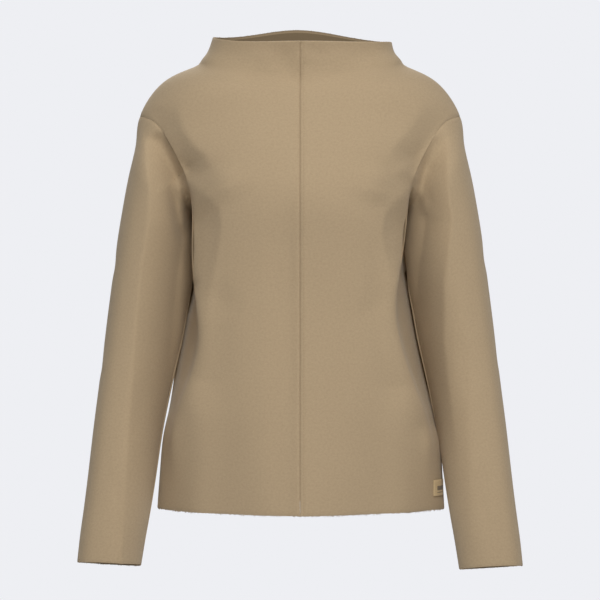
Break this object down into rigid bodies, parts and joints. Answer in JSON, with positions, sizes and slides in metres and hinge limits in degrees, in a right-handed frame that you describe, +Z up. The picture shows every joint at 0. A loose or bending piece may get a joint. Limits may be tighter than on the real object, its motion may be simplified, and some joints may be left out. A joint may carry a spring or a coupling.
{
  "type": "sweatshirt",
  "caption": "Long-sleeved pullover with a grown-on funnel neck, a centre front seam, dropped armholes and raw-cut edges, held in its worn, hollow shape.",
  "frame": {"origin": "point between the shoulders, level with the shoulder line, from which the wearer carries the garment", "axes": "+Z up along the body, the front towards -Y, the wearer's left towards +X"},
  "size_m": [0.569, 0.2388, 0.7067],
  "materials": {
    "cloth": "matte brushed tan cloth with a fine soft surface",
    "label": "matte woven gold-tan tab"
  },
  "bodies": {
    "root": {"front_left": "cloth", "front_right": "cloth", "back": "cloth", "sleeve_left": "cloth", "sleeve_right": "cloth", "label": "label"}
  },
  "joints": []
}
